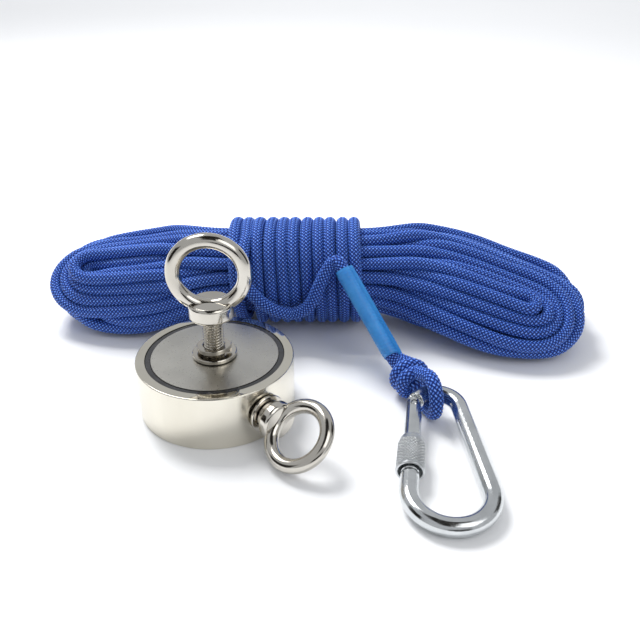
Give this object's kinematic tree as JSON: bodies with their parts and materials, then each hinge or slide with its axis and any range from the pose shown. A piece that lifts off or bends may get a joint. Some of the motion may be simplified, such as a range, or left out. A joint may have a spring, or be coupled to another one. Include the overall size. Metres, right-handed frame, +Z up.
{
  "type": "magnet fishing magnet",
  "caption": "Double-sided round pot magnet with a top and a side eye bolt, and a hank of braided rope knotted to a screw-lock carabiner for retrieving steel objects.",
  "frame": {"origin": "centre of the magnet's lower face", "axes": "+Z up along the top eye bolt, +X along the hank of rope, +Y from the magnet towards the hank"},
  "size_m": [0.314, 0.2334, 0.0894],
  "materials": {
    "nickel_plate": "satin nickel plated steel",
    "magnet_nickel": "satin nickel plated magnet",
    "black_resin": "black epoxy resin",
    "bright_zinc": "bright zinc plated steel",
    "spring_steel": "plain spring steel",
    "blue_rope": "braided polyester",
    "heat_shrink": "matte heat-shrink tube"
  },
  "bodies": {
    "magnet": {"steel_pot": "nickel_plate", "upper_magnet": "magnet_nickel", "lower_magnet": "magnet_nickel", "upper_resin_ring": "black_resin", "lower_resin_ring": "black_resin"},
    "top_bolt": {"top_eye_bolt": "nickel_plate"},
    "top_washers": {"top_flat_washer": "nickel_plate", "top_spring_washer": "nickel_plate"},
    "side_bolt": {"side_eye_bolt": "nickel_plate"},
    "side_washers": {"side_flat_washer": "nickel_plate", "side_spring_washer": "nickel_plate"},
    "rope": {"rope_hank": "blue_rope", "rope_wrapping": "blue_rope", "rope_lead": "blue_rope", "heat_shrink_sleeve": "heat_shrink", "rope_knot": "blue_rope", "rope_eye": "blue_rope"},
    "carabiner": {"carabiner_body": "bright_zinc", "gate_rivet": "bright_zinc"},
    "gate": {"carabiner_gate": "bright_zinc", "gate_spring": "spring_steel"},
    "plunger": {"gate_plunger": "spring_steel"},
    "lock_sleeve": {"screw_sleeve": "bright_zinc"}
  },
  "joints": [
    {"name": "top_bolt_turn", "type": "hinge", "parent": "magnet", "child": "top_bolt", "pos_m": [0, 0, 0.0273], "axis": [0, 0, 1], "continuous": true},
    {"name": "top_washers_slide", "type": "slide", "parent": "magnet", "child": "top_washers", "axis": [0, 0, 1], "range_m": [0, 0.014]},
    {"name": "side_bolt_turn", "type": "hinge", "parent": "magnet", "child": "side_bolt", "pos_m": [0.02533, -0.02765, 0.01365], "axis": [0.6756, -0.7373, 0], "continuous": true},
    {"name": "side_washers_slide", "type": "slide", "parent": "magnet", "child": "side_washers", "axis": [0.6756, -0.7373, 0], "range_m": [0, 0.0008]},
    {"name": "kit_lift", "type": "slide", "parent": "magnet", "child": "rope", "axis": [0, 0, 1], "range_m": [0, 0.1]},
    {"name": "carabiner_swing", "type": "hinge", "parent": "rope", "child": "carabiner", "pos_m": [0.103, -0.0111, 0.0123], "axis": [0, 0, 1], "range_deg": [-8, 12]},
    {"name": "gate_open", "type": "hinge", "parent": "carabiner", "child": "gate", "pos_m": [0.09336, -0.02108, 0.01124], "axis": [-0.0016, -0.1028, 0.9947], "range_deg": [0, 25], "stiffness_Nm_per_rad": 0.05, "springref_deg": -22.92},
    {"name": "plunger_slide", "type": "slide", "parent": "gate", "child": "plunger", "axis": [-0.1407, -0.9848, -0.102], "range_m": [0, 0.0012]},
    {"name": "sleeve_travel", "type": "slide", "parent": "gate", "child": "lock_sleeve", "axis": [0.1407, 0.9848, 0.102], "range_m": [0, 0.009]}
  ],
  "couplings": [
    {"joint": "plunger_slide", "follows": "gate_open", "m_per_rad": 0.00264}
  ]
}
